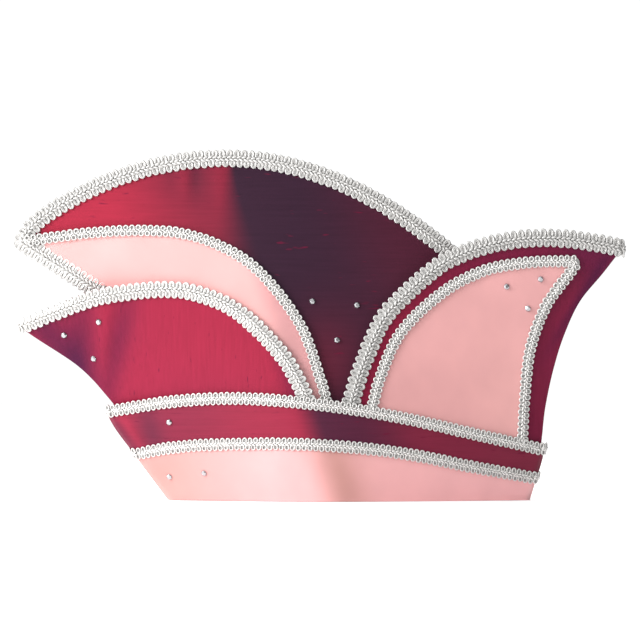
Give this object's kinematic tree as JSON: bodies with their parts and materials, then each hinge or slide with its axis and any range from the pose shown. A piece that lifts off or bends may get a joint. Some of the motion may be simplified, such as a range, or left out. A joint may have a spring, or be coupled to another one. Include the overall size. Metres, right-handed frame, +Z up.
{
  "type": "carnival cap",
  "caption": "Boat-shaped carnival cap: a folded crown with a beak, a low flap and a tall fan flap above a banded rim, edged with silver braid and set with rhinestones.",
  "frame": {"origin": "on the surface that the cap stands on, below the middle of its outline", "axes": "+X from the beak end to the fan end, +Y to the cap's right side, +Z up from the rim to the ridge"},
  "size_m": [0.4596, 0.1152, 0.2629],
  "materials": {
    "burgundy_silk": "shot slub silk, crimson in the light and plum in the shade, stiffened",
    "pink_satin": "smooth pale pink satin with a soft gloss",
    "silver_braid": "silver gimp braid of looped metallic cord",
    "rhinestone": "clear faceted flat-back crystal on a silvered back"
  },
  "bodies": {
    "root": {"lower_band": "pink_satin", "upper_band": "burgundy_silk", "crown_panel_left": "burgundy_silk", "crown_panel_right": "burgundy_silk", "crown_stripe_left": "pink_satin", "crown_stripe_right": "pink_satin", "beak_flap_left": "burgundy_silk", "beak_flap_right": "burgundy_silk", "fan_flap_left": "burgundy_silk", "fan_flap_right": "burgundy_silk", "fan_inlay_left": "pink_satin", "fan_inlay_right": "pink_satin", "ridge_braid": "silver_braid", "beak_braid": "silver_braid", "stripe_braid_left": "silver_braid", "stripe_braid_right": "silver_braid", "beak_flap_braid": "silver_braid", "fan_flap_braid": "silver_braid", "inlay_braid_left": "silver_braid", "inlay_braid_right": "silver_braid", "upper_band_braid": "silver_braid", "lower_band_braid": "silver_braid", "stone_beak_flap_1_left": "rhinestone", "stone_beak_flap_1_right": "rhinestone", "stone_beak_flap_2_left": "rhinestone", "stone_beak_flap_2_right": "rhinestone", "stone_beak_flap_3_left": "rhinestone", "stone_beak_flap_3_right": "rhinestone", "stone_crown_4_left": "rhinestone", "stone_crown_4_right": "rhinestone", "stone_crown_5_left": "rhinestone", "stone_crown_5_right": "rhinestone", "stone_crown_6_left": "rhinestone", "stone_crown_6_right": "rhinestone", "stone_inlay_7_left": "rhinestone", "stone_inlay_7_right": "rhinestone", "stone_inlay_8_left": "rhinestone", "stone_inlay_8_right": "rhinestone", "stone_inlay_9_left": "rhinestone", "stone_inlay_9_right": "rhinestone", "stone_upper_band_10_left": "rhinestone", "stone_upper_band_10_right": "rhinestone", "stone_lower_band_11_left": "rhinestone", "stone_lower_band_11_right": "rhinestone", "stone_lower_band_12_left": "rhinestone", "stone_lower_band_12_right": "rhinestone"}
  },
  "joints": []
}
